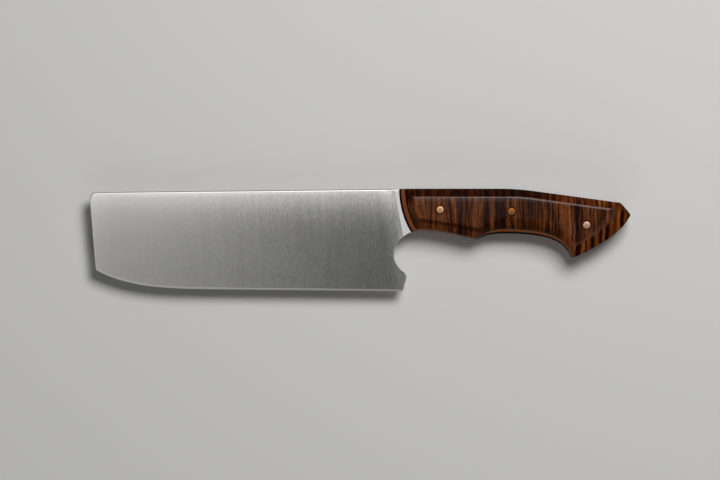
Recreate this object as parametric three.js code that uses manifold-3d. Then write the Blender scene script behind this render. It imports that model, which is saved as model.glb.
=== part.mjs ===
// A nakiri kitchen knife with a full tang: one steel blade, and on each side of its tang a black liner,
// a brown liner and a wooden scale, held by three copper pins. It lies on its right side.
// Millimetres. +X runs from the tip to the butt, +Y from the edge to the spine, +Z out of the left side.
// Outlines are drawn from the datum where the front of the handle meets the spine.
import * as THREE from 'three';
import { mergeVertices } from 'three/addons/utils/BufferGeometryUtils.js';
import Module from 'manifold-3d';

// Blade, seen from the side
const BLADE_LENGTH = 170.4; // handle front to the tip, along the spine
const BLADE_HEIGHT = 56.3; // spine to edge at the heel
const SPINE_FALL = 1.9; // how far the spine drops towards the tip
const TIP_RADIUS = 3.5; // rounding of the upper tip corner
const TIP_LEAN = 3.7; // how far the lower tip corner lies behind the upper one
const EDGE_RISE = 1.8; // how far the flat of the edge rises towards the tip
const BELLY_LENGTH = 75; // curved stretch of the edge before the tip
const BELLY_RISE = 9.9; // how far that stretch climbs
const BELLY_POWER = 4; // how late the climb comes

// Choil and heel
const CHOIL_RADIUS = 11.3;
const CHOIL_DEPTH = 2.7; // how far the choil reaches past the handle front, towards the tip
const CHOIL_DROP = 35.9; // spine to the choil's centre
const HEEL_CORNER_DROP = 47.5; // spine to the heel's upper corner
const HEEL_REACH = 4.6; // that corner, measured towards the butt from the handle front
const HEEL_LEAN = 2.5; // how far the heel's lower corner lies ahead of the upper one
const HEEL_RADIUS = 1;
const CHOIL_START_ANGLE = 243; // degrees, where the choil's arc leaves the heel
const CHOIL_END_ANGLE = 135; // degrees, where it bends away to the handle

// Blade, thicknesses
const TANG_THICKNESS = 3;
const SPINE_AT_HEEL = 2.7;
const SPINE_AT_TIP = 1.9;
const SHOULDER_THICKNESS = 0.6; // where the edge bevel starts
const EDGE_THICKNESS = 0.1;
const EDGE_BEVEL = 0.9; // height of the edge bevel
const RICASSO_LENGTH = 2.6; // flat between the handle front and the start of the grind, at the spine
const PLUNGE_LEAN = 0.187; // run of the line where the grind starts, for each mm below the spine
const PLUNGE_RUN = 3.5; // the grind reaches its full depth over this length

// Handle, seen from the side
const HANDLE_LENGTH = 127.2;
const FRONT_RADIUS = 47; // curve of the handle's front end
const FRONT_HEIGHT = 24; // spine to the lower front corner
const BACK_FLAT = 64.5; // the back of the handle runs level this far
const BACK_BEND = 9; // then bends down over this length each way
const BACK_ANGLE = 7.7; // degrees
const SHOULDER_FROM_BUTT = 5.4;
const BUTT_DROP = 14.2; // spine to the butt's point
const BUTT_BULGE_FROM_BUTT = 5.4; // control point of the butt's lower curve
const BUTT_BULGE_DROP = 26.4;
const BEAK_FROM_BUTT = 31.9;
const BEAK_DROP = 38.1;
const HOOK_RUN = 4.5; // the hook's curve leaves the beak this far forward
const HOOK_RISE = 5; // and this far up
const GRIP_FROM_FRONT = 57; // highest point of the grip's hollow
const GRIP_DROP = 24.55;
const GRIP_EASE = 35; // length of the easing behind that point
const SCOOP_EASE = 8; // and ahead of it
const GUARD_FROM_FRONT = 43.4; // lowest point of the finger guard
const GUARD_DROP = 27.9;
const GUARD_SLOPE = 1.4; // steepness of the hollow behind the guard
const FINGER_SLOPE = 13.4; // length of the easing ahead of the guard
const FINGER_RISE = 2.7; // and how far it climbs
const FINGER_HOLLOW = 7.6; // and behind the lower front corner
const FINGER_ARCH = 3.4; // how far the underside arches there

// Handle, layers on each side of the tang
const BLACK_THICKNESS = 1;
const BROWN_THICKNESS = 2.4;
const WOOD_THICKNESS = 4.8;

// How far back the three layers' outer faces stand from the tang's edge, in the order
// black liner, brown liner, wood
const FRONT_SETBACK = [0.95, 3.2, 7.4];
const FINGER_SETBACK = [0.25, 0.8, 5.3];
const GUARD_SETBACK = [0.2, 0.5, 3.4];
const GRIP_SETBACK = [1.1, 2.5, 4];
const BEAK_SETBACK = [0.5, 1.1, 3];
const BEAK_REAR_SETBACK = [0, 0, 4.5];
const BUTT_SETBACK = [0, 0, 9];
const BACK_SETBACK = [0, 0, 4.1];
const SMOOTH_TURN = 0.05; // stretches that meet at less than this turn, in radians, run on smoothly
const END_LAND = 0.5; // the end facet stands this much further back than its neighbours' meeting point

// Pins
const PIN_DIAMETER = 4;
const PIN_CLEARANCE = 0.05; // round each pin, filled with glue on the real knife
const PIN_SIDES = 32;
const FRONT_PIN_FROM_FRONT = 22.5;
const FRONT_PIN_DROP = 11.6;
const MIDDLE_PIN_FROM_FRONT = 61.6;
const MIDDLE_PIN_DROP = 12.6;
const REAR_PIN_FROM_BUTT = 24.4;
const REAR_PIN_DROP = 20;

// Fineness of the faceted surfaces
const WELD = 1e-4; // corners closer than this are one corner
const CURVE_STEPS = 8;
const BELLY_STEPS = 20;
const BLADE_COLUMNS = 22;
const PLUNGE_COLUMNS = 6;
const FACE_ROWS = 5;
const CUT_MARGIN = 1; // how far a cutting body reaches past what it cuts

const wasm = await Module();
wasm.setup();

const point = (x, y) => new THREE.Vector2(x, y);
const { lerp, clamp, smoothstep, degToRad } = THREE.MathUtils;

// A closed geometry as a solid that can be joined and cut.
function solidOf(geometry) {
  const bare = geometry.clone();
  bare.deleteAttribute('normal');
  bare.deleteAttribute('uv');
  const merged = mergeVertices(bare, WELD);
  return new wasm.Manifold(new wasm.Mesh({
    numProp: 3,
    vertProperties: merged.attributes.position.array,
    triVerts: new Uint32Array(merged.index.array),
  }));
}

function geometryOf(solid) {
  const mesh = solid.getMesh();
  const geometry = new THREE.BufferGeometry();
  geometry.setAttribute('position', new THREE.BufferAttribute(mesh.vertProperties, 3));
  geometry.setIndex(new THREE.BufferAttribute(mesh.triVerts, 1));
  geometry.computeVertexNormals();
  return geometry;
}

// A closed geometry from a list of corners and the triangles between them.
function facetedGeometry(corners, triangles) {
  const geometry = new THREE.BufferGeometry().setFromPoints(corners);
  geometry.setIndex(triangles);
  return geometry;
}

// The vector whose part along each of two unit directions is given.
function reaching(along, length, across, width) {
  const area = along.cross(across);
  const x = (length * across.y - width * along.y) / area;
  const y = (width * along.x - length * across.x) / area;
  return point(x, y);
}

// Corners of the handle's outline, counter-clockwise from the datum
const foot = point(FRONT_RADIUS - Math.sqrt(FRONT_RADIUS ** 2 - FRONT_HEIGHT ** 2), -FRONT_HEIGHT);
const guard = point(GUARD_FROM_FRONT, -GUARD_DROP);
const grip = point(GRIP_FROM_FRONT, -GRIP_DROP);
const beak = point(HANDLE_LENGTH - BEAK_FROM_BUTT, -BEAK_DROP);
const butt = point(HANDLE_LENGTH, -BUTT_DROP);
const backSlope = Math.tan(degToRad(BACK_ANGLE));
const backAt = (x) => point(x, -backSlope * (x - BACK_FLAT));
const shoulder = backAt(HANDLE_LENGTH - SHOULDER_FROM_BUTT);
const datum = point(0, 0);

// The outline's stretches, in that order: each has its curve, its steps, and its setbacks at both ends
const footAngle = Math.PI + Math.asin(FRONT_HEIGHT / FRONT_RADIUS);
const frontCurve = new THREE.EllipseCurve(FRONT_RADIUS, 0, FRONT_RADIUS, FRONT_RADIUS, Math.PI, footAngle);
const fingerCurve = new THREE.CubicBezierCurve(
  foot,
  point(foot.x + FINGER_HOLLOW, foot.y + FINGER_ARCH),
  point(guard.x - FINGER_SLOPE, guard.y + FINGER_RISE),
  guard,
);
const scoopCurve = new THREE.CubicBezierCurve(
  guard,
  point(guard.x + GUARD_SLOPE, guard.y + GUARD_SLOPE),
  point(grip.x - SCOOP_EASE, grip.y),
  grip,
);
const gripCurve = new THREE.CubicBezierCurve(
  grip,
  point(grip.x + GRIP_EASE, grip.y),
  point(beak.x - HOOK_RUN, beak.y + HOOK_RISE),
  beak,
);
const buttBulge = point(HANDLE_LENGTH - BUTT_BULGE_FROM_BUTT, -BUTT_BULGE_DROP);
const buttCurve = new THREE.QuadraticBezierCurve(beak, buttBulge, butt);
const bendStart = backAt(BACK_FLAT + BACK_BEND);
const bendEnd = point(BACK_FLAT - BACK_BEND, 0);

const underside = [
  { curve: fingerCurve, steps: 14, from: FINGER_SETBACK, to: FINGER_SETBACK },
  { curve: scoopCurve, steps: 10, from: GUARD_SETBACK, to: GRIP_SETBACK },
  { curve: gripCurve, steps: 16, from: GRIP_SETBACK, to: BEAK_SETBACK },
];
const rear = [
  { curve: buttCurve, steps: 10, from: BEAK_REAR_SETBACK, to: BUTT_SETBACK },
  { curve: new THREE.LineCurve(butt, shoulder), steps: 1, from: endSetback(), to: endSetback() },
];
const back = [
  { curve: new THREE.LineCurve(shoulder, bendStart), steps: 1 },
  { curve: new THREE.QuadraticBezierCurve(bendStart, point(BACK_FLAT, 0), bendEnd), steps: 5 },
  { curve: new THREE.LineCurve(bendEnd, datum), steps: 1 },
].map((stretch) => ({ ...stretch, from: BACK_SETBACK, to: BACK_SETBACK }));
const front = { curve: frontCurve, steps: 12, from: FRONT_SETBACK, to: FRONT_SETBACK };

// The direction square to a curve that points into the handle, on the left of its travel.
function inward(curve, share) {
  const along = curve.getTangent(share);
  return point(-along.y, along.x);
}

// The small facet at the end of the handle starts just behind the place where the butt's facet
// and the back's facet meet.
function endSetback() {
  const endInward = inward(new THREE.LineCurve(butt, shoulder), 0);
  const buttInward = inward(buttCurve, 1);
  const backInward = point(-Math.sin(degToRad(BACK_ANGLE)), -Math.cos(degToRad(BACK_ANGLE)));
  const toButt = shoulder.clone().sub(butt).dot(buttInward);
  return BUTT_SETBACK.map((width, layer) => {
    if (width === 0) return 0;
    const meeting = reaching(buttInward, width - toButt, backInward, BACK_SETBACK[layer]);
    return meeting.dot(endInward) + END_LAND;
  });
}

// Where two stretches meet, a layer's corner lies in by the setbacks of both.
function cornerInset(before, after, layer) {
  const squareBefore = inward(before.curve, 1);
  const squareAfter = inward(after.curve, 0);
  const isSmooth = Math.abs(squareBefore.cross(squareAfter)) < SMOOTH_TURN;
  if (isSmooth) return squareAfter.multiplyScalar(after.from[layer]);
  return reaching(squareBefore, before.to[layer], squareAfter, after.from[layer]);
}

// The outline of the tang's edge, and how far in each layer's outer face lies at each of its points.
// Along a stretch the points of a layer slide, so that they spread evenly between its own corners.
function outlineWithSetbacks(stretches) {
  return stretches.flatMap((stretch, index) => {
    const { curve, steps, from, to } = stretch;
    const before = stretches.at(index - 1);
    const after = stretches[(index + 1) % stretches.length];
    return curve.getPoints(steps).slice(0, -1).map((spot, step) => {
      const share = step / steps;
      const insets = from.map((start, layer) => {
        const slideAtStart = cornerInset(before, stretch, layer).dot(curve.getTangent(0));
        const slideAtEnd = cornerInset(stretch, after, layer).dot(curve.getTangent(1));
        const slide = lerp(slideAtStart, slideAtEnd, share);
        const width = lerp(start, to[layer], share);
        return inward(curve, share).multiplyScalar(width).addScaledVector(curve.getTangent(share), slide);
      });
      return { spot, insets };
    });
  });
}

const handleOutline = outlineWithSetbacks([front, ...underside, ...rear, ...back]);

// The handle's outline at the tang (0) or at the outer face of the black liner (1), the brown liner (2)
// or the wood (3), at the height where that face lies.
function ring(layer, height) {
  return handleOutline.map(({ spot, insets }) => {
    const place = layer === 0 ? spot : spot.clone().add(insets[layer - 1]);
    return new THREE.Vector3(place.x, place.y, height);
  });
}

// A slab with sloping sides between two rings with as many points each.
function slab(lower, upper) {
  const count = lower.length;
  const triangles = [];
  for (let i = 0; i < count; i += 1) {
    const next = (i + 1) % count;
    triangles.push(i, next, i + count);
    triangles.push(next, next + count, i + count);
  }
  for (const [a, b, c] of THREE.ShapeUtils.triangulateShape(lower, [])) triangles.push(a, c, b);
  for (const face of THREE.ShapeUtils.triangulateShape(upper, [])) {
    triangles.push(...face.map((corner) => corner + count));
  }
  return facetedGeometry([...lower, ...upper], triangles);
}

// Pins: the rods, and the holes that they pass through
const handleThickness = TANG_THICKNESS + 2 * (BLACK_THICKNESS + BROWN_THICKNESS + WOOD_THICKNESS);
const pins = {
  front_pin: point(FRONT_PIN_FROM_FRONT, -FRONT_PIN_DROP),
  middle_pin: point(MIDDLE_PIN_FROM_FRONT, -MIDDLE_PIN_DROP),
  rear_pin: point(HANDLE_LENGTH - REAR_PIN_FROM_BUTT, -REAR_PIN_DROP),
};

function rod(radius, length) {
  return new THREE.CylinderGeometry(radius, radius, length, PIN_SIDES).rotateX(Math.PI / 2);
}

function drilled(solid) {
  return Object.values(pins).reduce((left, place) => {
    const hole = rod(PIN_DIAMETER / 2 + PIN_CLEARANCE, handleThickness + 2 * CUT_MARGIN);
    return left.subtract(solidOf(hole.translate(place.x, place.y, 0)));
  }, solid);
}

// Blade: its spine and edge as heights over the length
const tipTop = point(-BLADE_LENGTH, -SPINE_FALL);
const tipFoot = -BLADE_LENGTH + TIP_LEAN;
const spineAt = (x) => (x < 0 ? (SPINE_FALL * x) / BLADE_LENGTH : 0);

function edgeAt(x) {
  const intoBelly = clamp((tipFoot + BELLY_LENGTH - x) / BELLY_LENGTH, 0, 1);
  return -BLADE_HEIGHT - (EDGE_RISE * x) / BLADE_LENGTH + BELLY_RISE * intoBelly ** BELLY_POWER;
}

// The point a given way along the line from a corner to its neighbour.
function towards(corner, neighbour, distance) {
  return corner.clone().add(neighbour.clone().sub(corner).setLength(distance));
}

// The steel's outline, counter-clockwise: the blade from the datum to the choil, then the tang.
function steelOutline() {
  const path = new THREE.Path();
  const tipLow = point(tipFoot, edgeAt(tipFoot));
  const heelTop = point(HEEL_REACH, -HEEL_CORNER_DROP);
  const heelLow = point(HEEL_REACH - HEEL_LEAN, edgeAt(HEEL_REACH - HEEL_LEAN));
  const choil = point(CHOIL_RADIUS - CHOIL_DEPTH, -CHOIL_DROP);
  path.moveTo(datum.x, datum.y);
  path.lineTo(...towards(tipTop, datum, TIP_RADIUS));
  path.quadraticCurveTo(...tipTop, ...towards(tipTop, tipLow, TIP_RADIUS));
  for (let step = 0; step <= BELLY_STEPS; step += 1) {
    const x = tipFoot + BELLY_LENGTH * (step / BELLY_STEPS) ** 2;
    path.lineTo(x, edgeAt(x));
  }
  const heelFlat = point(heelLow.x - HEEL_RADIUS, edgeAt(heelLow.x - HEEL_RADIUS));
  path.lineTo(...heelFlat);
  path.quadraticCurveTo(...heelLow, ...towards(heelLow, heelTop, HEEL_RADIUS));
  path.lineTo(...heelTop);
  const choilLow = degToRad(CHOIL_START_ANGLE);
  const choilHigh = degToRad(CHOIL_END_ANGLE);
  path.absarc(choil.x, choil.y, CHOIL_RADIUS, choilLow, choilHigh, true);
  const leave = point(-Math.cos(choilHigh + Math.PI / 2), -Math.sin(choilHigh + Math.PI / 2));
  const arrive = fingerCurve.getTangent(0);
  const choilEnd = path.currentPoint.clone();
  const gap = foot.clone().sub(choilEnd);
  const bend = choilEnd.clone().addScaledVector(leave, gap.cross(arrive) / leave.cross(arrive));
  path.quadraticCurveTo(...bend, ...foot);
  const bladeOutline = path.getPoints(CURVE_STEPS);
  const tangOutline = handleOutline.slice(front.steps + 1).map(({ spot }) => spot);
  return [...bladeOutline, ...tangOutline];
}

// Half of the steel's thickness: flat on the tang, then ground down towards the edge and the tip.
const plungeAt = (y) => -RICASSO_LENGTH - PLUNGE_LEAN * y;

function halfThickness(x, y) {
  const height = y - edgeAt(x);
  const spine = lerp(SPINE_AT_HEEL, SPINE_AT_TIP, clamp(-x / BLADE_LENGTH, 0, 1));
  const upTheFace = clamp((height - EDGE_BEVEL) / (spineAt(x) - edgeAt(x) - EDGE_BEVEL), 0, 1);
  const upTheBevel = clamp(height / EDGE_BEVEL, 0, 1);
  const face = lerp(SHOULDER_THICKNESS, spine, upTheFace);
  const ground = height < EDGE_BEVEL ? lerp(EDGE_THICKNESS, SHOULDER_THICKNESS, upTheBevel) : face;
  const onRicasso = smoothstep(x, plungeAt(y) - PLUNGE_RUN, plungeAt(y));
  return lerp(ground, TANG_THICKNESS, onRicasso) / 2;
}

// A block with those thicknesses, a little larger than the outline all round. Its columns follow the
// line where the grind starts, and its rows follow the edge.
function groundBlock() {
  const columns = BLADE_COLUMNS + PLUNGE_COLUMNS + 2;
  const rowShares = Array.from({ length: FACE_ROWS + 1 }, (_, row) => row / FACE_ROWS);
  const rows = rowShares.length + 3;
  const corners = [];
  for (let column = 0; column < columns; column += 1) {
    const along = Math.min(column / BLADE_COLUMNS, 1);
    const inPlunge = clamp((column - BLADE_COLUMNS) / PLUNGE_COLUMNS, 0, 1);
    const middle = lerp(-BLADE_LENGTH - CUT_MARGIN, -RICASSO_LENGTH - PLUNGE_RUN, along);
    const low = edgeAt(middle);
    const high = spineAt(middle);
    const heights = rowShares.map((share) => lerp(low + EDGE_BEVEL, high, share));
    for (const y of [low - CUT_MARGIN, low, ...heights, high + CUT_MARGIN]) {
      const grindEnd = plungeAt(y) - PLUNGE_RUN;
      const onBlade = lerp(-BLADE_LENGTH - CUT_MARGIN, grindEnd, along) + PLUNGE_RUN * inPlunge;
      const x = column === columns - 1 ? HANDLE_LENGTH + CUT_MARGIN : onBlade;
      corners.push(new THREE.Vector3(x, y, halfThickness(x, y)));
    }
  }
  const count = corners.length;
  const below = corners.map(({ x, y, z }) => new THREE.Vector3(x, y, -z));
  const triangles = [];
  const addSquare = (a, b, c, d) => triangles.push(a, b, c, a, c, d);
  for (let column = 0; column < columns - 1; column += 1) {
    for (let row = 0; row < rows - 1; row += 1) {
      const a = column * rows + row;
      const b = a + rows;
      addSquare(a, b, b + 1, a + 1);
      addSquare(count + a, count + a + 1, count + b + 1, count + b);
    }
    const low = column * rows;
    const high = low + rows - 1;
    addSquare(count + low, count + low + rows, low + rows, low);
    addSquare(high, high + rows, count + high + rows, count + high);
  }
  const last = (columns - 1) * rows;
  for (let row = 0; row < rows - 1; row += 1) {
    addSquare(count + row + 1, count + row, row, row + 1);
    addSquare(last + row + 1, last + row, count + last + row, count + last + row + 1);
  }
  return facetedGeometry([...corners, ...below], triangles);
}

function bladeGeometry() {
  const outline = new THREE.Shape(steelOutline());
  const plateThickness = TANG_THICKNESS + 2 * CUT_MARGIN;
  const plate = new THREE.ExtrudeGeometry(outline, { depth: plateThickness, bevelEnabled: false });
  plate.translate(0, 0, -plateThickness / 2);
  return geometryOf(drilled(solidOf(plate).intersect(solidOf(groundBlock()))));
}

// Materials
const steel = new THREE.MeshStandardMaterial({ color: '#a9a7a4', roughness: 0.38, metalness: 1 });
const blackFibre = new THREE.MeshStandardMaterial({ color: '#0c0b0b', roughness: 0.5, metalness: 0 });
const brownFibre = new THREE.MeshStandardMaterial({ color: '#7a4523', roughness: 0.45, metalness: 0 });
const figuredWood = new THREE.MeshStandardMaterial({ color: '#40261a', roughness: 0.3, metalness: 0 });
const copper = new THREE.MeshStandardMaterial({ color: '#d79a78', roughness: 0.3, metalness: 1 });

function addPiece(parent, name, geometry, material) {
  const piece = new THREE.Mesh(geometry, material.clone());
  piece.name = name;
  parent.add(piece);
}

const knife = new THREE.Group();
addPiece(knife, 'blade', bladeGeometry(), steel);

const tangFace = TANG_THICKNESS / 2;
const blackFace = tangFace + BLACK_THICKNESS;
const brownFace = blackFace + BROWN_THICKNESS;
const woodFace = brownFace + WOOD_THICKNESS;
const blackLiner = geometryOf(drilled(solidOf(slab(ring(0, tangFace), ring(1, blackFace)))));
const brownLiner = geometryOf(drilled(solidOf(slab(ring(1, blackFace), ring(2, brownFace)))));
const scale = geometryOf(drilled(solidOf(slab(ring(2, brownFace), ring(3, woodFace)))));

// The right side is the left side's mirror image.
for (const [side, direction] of Object.entries({ left: 1, right: -1 })) {
  const layers = new THREE.Group();
  layers.scale.z = direction;
  addPiece(layers, `${side}_black_liner`, blackLiner, blackFibre);
  addPiece(layers, `${side}_brown_liner`, brownLiner, brownFibre);
  addPiece(layers, `${side}_scale`, scale, figuredWood);
  knife.add(layers);
}

for (const [name, place] of Object.entries(pins)) {
  const pin = rod(PIN_DIAMETER / 2, handleThickness).translate(place.x, place.y, 0);
  addPiece(knife, name, pin, copper);
}

// The knife lies on its right scale, centred over the origin.
const extent = new THREE.Box3().setFromObject(knife);
const middle = extent.getCenter(new THREE.Vector3());
knife.position.set(-middle.x, -middle.y, -extent.min.z);

const part = new THREE.Group();
part.add(knife);

export default part;
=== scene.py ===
import math
from collections import namedtuple

import bpy
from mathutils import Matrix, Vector


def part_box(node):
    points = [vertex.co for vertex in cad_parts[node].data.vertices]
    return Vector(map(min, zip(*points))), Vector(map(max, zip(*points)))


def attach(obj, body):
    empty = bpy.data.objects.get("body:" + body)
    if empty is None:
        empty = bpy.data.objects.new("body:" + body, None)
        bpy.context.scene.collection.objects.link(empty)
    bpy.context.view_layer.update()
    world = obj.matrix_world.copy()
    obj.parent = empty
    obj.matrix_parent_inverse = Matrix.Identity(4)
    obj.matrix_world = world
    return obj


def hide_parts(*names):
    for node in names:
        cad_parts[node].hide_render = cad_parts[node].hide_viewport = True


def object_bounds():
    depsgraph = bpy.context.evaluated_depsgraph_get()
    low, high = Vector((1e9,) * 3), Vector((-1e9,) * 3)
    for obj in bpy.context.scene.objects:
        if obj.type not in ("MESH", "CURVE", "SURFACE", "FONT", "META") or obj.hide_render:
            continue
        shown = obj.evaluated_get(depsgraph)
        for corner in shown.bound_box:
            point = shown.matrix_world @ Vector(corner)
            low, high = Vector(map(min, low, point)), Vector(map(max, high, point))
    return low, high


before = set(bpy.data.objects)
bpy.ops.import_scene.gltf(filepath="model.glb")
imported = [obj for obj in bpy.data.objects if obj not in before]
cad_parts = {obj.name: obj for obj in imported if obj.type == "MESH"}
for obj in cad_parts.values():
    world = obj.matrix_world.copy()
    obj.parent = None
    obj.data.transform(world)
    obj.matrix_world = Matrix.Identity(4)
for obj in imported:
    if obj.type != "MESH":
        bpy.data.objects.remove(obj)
cad_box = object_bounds()

# Studio: the knife lies on a plain pale floor and is seen square from above. A square soft light hangs high
# behind the handle and a broad dim one stands on the edge's side. Three panels near the tip and the spine
# show only as reflections.
MM = 0.001
IMAGE_WIDTH = 720  # pixels
PIXEL_SIZE = 0.55  # mm of the knife in one pixel
CAMERA_DISTANCE = 3000  # mm, from the middle of the blade
FLOOR_SIZE = 12000  # mm
FLOOR_GREY = "#ecebe8"
FLOOR_MOTTLE = 40  # mm
FLOOR_ROUGHNESS = (0.85, 0.95)
SKY_GREY = "#303132"
LIGHT_WHITE = "#ffffff"
SoftLight = namedtuple("SoftLight", "name place aim width height brightness only_reflected")
SOFT_LIGHTS = (  # places and sizes in mm, brightness per area
    SoftLight("tip_panel", (-398, 0, 340), (-398, 0, 0), 640, 800, 0.565, True),
    SoftLight("spine_panel", (-22, 179, 210), (-22, 179, 0), 280, 300, 0.96, True),
    SoftLight("key_light", (420, 720, 1180), (0, 0, 0), 640, 640, 11, False),
    SoftLight("tip_strip", (-900, 60, 420), (-60, 0, 0), 200, 700, 2, True),
    SoftLight("edge_fill", (0, -1500, 700), (0, 0, 0), 2400, 1400, 0.55, False),
)


def linear(hex_colour):
    """The linear RGBA colour of an sRGB hex value."""
    channels = [int(hex_colour[i:i + 2], 16) / 255 for i in (1, 3, 5)]
    return [c / 12.92 if c <= 0.04045 else ((c + 0.055) / 1.055) ** 2.4 for c in channels] + [1]


def add_node(material, kind, inputs=(), stops=(), **settings):
    """Adds a node, and fills its inputs in order or by name with values, sockets or nodes' results."""
    tree = material.node_tree
    node = tree.nodes.new("ShaderNode" + kind)
    for name, value in settings.items():
        setattr(node, name, value)
    for key, value in inputs.items() if isinstance(inputs, dict) else enumerate(inputs):
        if isinstance(value, bpy.types.Node):
            value = next(socket for socket in value.outputs if not socket.is_unavailable)
        if isinstance(value, bpy.types.NodeSocket):
            tree.links.new(value, node.inputs[key])
        else:
            node.inputs[key].default_value = value
    if stops:
        marks = node.color_ramp.elements
        marks.remove(marks[1])
        marks[0].position = stops[0][0]
        marks[0].color = linear(stops[0][1])
        for position, colour in stops[1:]:
            marks.new(position).color = linear(colour)
    return node


def new_material(name):
    """An empty material, and its surface's place in millimetres."""
    material = bpy.data.materials.new(name)
    material.use_nodes = True
    material.node_tree.nodes.clear()
    place = add_node(material, "TexCoord").outputs["Object"]
    return material, add_node(material, "VectorMath", {0: place, "Scale": 1 / MM}, operation="SCALE")


bpy.ops.object.select_all(action="DESELECT")
mid_height = (cad_box[0].z + cad_box[1].z) / 2
bpy.ops.object.camera_add(location=(0, 0, mid_height + CAMERA_DISTANCE * MM))
camera = bpy.context.object
camera.data.lens = camera.data.sensor_width * CAMERA_DISTANCE / (IMAGE_WIDTH * PIXEL_SIZE)
bpy.context.scene.camera = camera
bpy.context.scene.view_settings.view_transform = "Standard"

for light in SOFT_LIGHTS:
    bpy.ops.object.light_add(type="AREA", location=Vector(light.place) * MM)
    panel = bpy.context.object
    panel.name = light.name
    panel.rotation_euler = (Vector(light.aim) - Vector(light.place)).to_track_quat("-Z", "Y").to_euler()
    panel.visible_diffuse = not light.only_reflected
    panel.data.shape = "RECTANGLE"
    panel.data.size = light.width * MM
    panel.data.size_y = light.height * MM
    panel.data.energy = light.brightness * math.pi * light.width * light.height * MM ** 2
    panel.data.color = linear(LIGHT_WHITE)[:3]

world = bpy.data.worlds.new("studio_room")
bpy.context.scene.world = world
world.use_nodes = True
world.node_tree.nodes["Background"].inputs["Color"].default_value = linear(SKY_GREY)

bpy.ops.mesh.primitive_plane_add(size=FLOOR_SIZE * MM, location=(0, 0, cad_box[0].z))
floor = bpy.context.object
floor.name = "floor"
pale_floor, place = new_material("pale_paper")
mottle = add_node(pale_floor, "TexNoise", {"Vector": place, "Scale": 1 / FLOOR_MOTTLE, "Detail": 4})
floor_gloss = add_node(pale_floor, "MapRange", [mottle, 0, 1, *FLOOR_ROUGHNESS])
floor_tone = linear(FLOOR_GREY)
shader = add_node(pale_floor, "BsdfPrincipled", {"Base Color": floor_tone, "Roughness": floor_gloss})
add_node(pale_floor, "OutputMaterial", [shader])
floor.data.materials.append(pale_floor)

# Blade: one piece of stainless steel with its tang, drilled for the pins. Its faces are ground thin towards
# the edge and brushed square to it. The ricasso in front of the handle is flat and bead-blasted, the spine
# is rounded and polished, and the tip, heel and choil are ground. Sizes are in mm, angles in degrees.
HANDLE_LENGTH = 127.2
FRONT_RADIUS = 47
FRONT_HEIGHT = 24
BACK_FLAT = 64.5
BACK_BEND = 9
BACK_ANGLE = 7.7
SHOULDER_FROM_BUTT = 5.4
BUTT_DROP = 14.2
BUTT_BULGE = (5.4, 26.4)  # from the butt, and below the spine
BEAK = (31.9, 38.1)
HOOK = (4.5, 5)
GRIP = (57, 24.55)  # from the handle's front, and below the spine
GRIP_EASE = 35
SCOOP_EASE = 8
GUARD = (43.4, 27.9)
GUARD_SLOPE = 1.4
FINGER_SLOPE = (13.4, 2.7)
FINGER_HOLLOW = (7.6, 3.4)
END_LAND = 0.2
OUTLINE_STEP = 0.7  # spacing of the points round the handle
LEAST_STEPS = 4
LENGTH_SAMPLES = 20
SMOOTH_TURN = 0.05  # radians

BLADE_LENGTH = 170.4
BLADE_HEIGHT = 56.3
SPINE_FALL = 1.9
TIP_RADIUS = 4.4
TIP_LEAN = 3.7
EDGE_RISE = 1.8
BELLY_LENGTH = 75
BELLY_RISE = 9.9
CHOIL_RADIUS = 11.3
CHOIL_CENTRE = (8.6, -35.9)
CHOIL_ANGLES = (243, 135)
HEEL_TOP = (4.6, -47.5)
HEEL_LEAN = 2.5
HEEL_RADIUS = 1

TANG_THICKNESS = 3
SPINE_AT_HEEL = 2.7
SPINE_AT_TIP = 1.9
SHOULDER_THICKNESS = 0.6
EDGE_THICKNESS = 0.1
EDGE_BEVEL = 0.9
RICASSO_LENGTH = 2.6
PLUNGE_LEAN = 0.187  # the plunge line's run towards the handle for each mm below the spine
PLUNGE_RUN = 3
CROWN_DEPTH = 26  # below the spine, where the rounded part of the face ends
CROWN_SLOPES = (-0.02, 0.027)  # fall of the face at the spine and below its rounded part
SHOULDER_EASE = 3  # the first stretch of the face below the spine, rounded more
SHOULDER_FALL = 0.06
ROUND_LIMIT = 0.8  # the largest share of the steel's half thickness that a rounded rim takes
RIM_STEPS = 5
FACE_SUPPORT = 0.1
MITRE_LIMIT = 0.5  # least cosine of half a corner's turn that an inset line follows in full
SMOOTH_ANGLE = 30
SEAM_REACH = 1e-9  # in metres, for joining a rolled skin's seam
MIRROR_REACH = 1e-6

# Where the face is cut into a mesh, along the blade and below the spine
BLADE_CUTS = range(-168, -9, 6)
PLUNGE_CUTS = [half / 2 for half in range(-18, 20)]
TANG_CUTS = range(16, 120, 8)
DEPTH_CUTS = [-2.5 * row for row in range(1, 22)]
SPINE_CUTS = (-1.5, -2, -3, -3.5, -4, -4.5)

# How far back the outer faces of the black liner, the brown liner and the wood stand from the tang's
# edge, and how softly the wood's facet turns into its flat side
Section = namedtuple("Section", "black brown wood ease")
Stretch = namedtuple("Stretch", "curve steps start end")
AT_FRONT = Section(1.2, 3.2, 7.4, 0.9)
AT_FOOT = Section(0.2, 0.6, 3.8, 2)
AT_FINGER = Section(0.2, 0.6, 5.0, 2.2)
AT_GUARD = Section(0.2, 0.5, 3.4, 1.2)
AT_GRIP = Section(1.1, 2.5, 5, 4.5)
AT_BEAK = Section(0.5, 1.1, 3.0, 1.6)
BEHIND_BEAK = Section(0, 0, 4.5, 2)
AT_BUTT = Section(0, 0, 9, 4)
AT_REAR_BACK = Section(0, 0, 3.2, 2.0)
AT_BACK = Section(0, 0, 4.1, 1.1)
END_EASE = 2.4


def bezier(*corners):
    """A curve from its first corner to its last, pulled towards those between."""
    def at(share):
        row = [Vector(corner) for corner in corners]
        while len(row) > 1:
            row = [a.lerp(b, share) for a, b in zip(row, row[1:])]
        return row[0]
    return at


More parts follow.
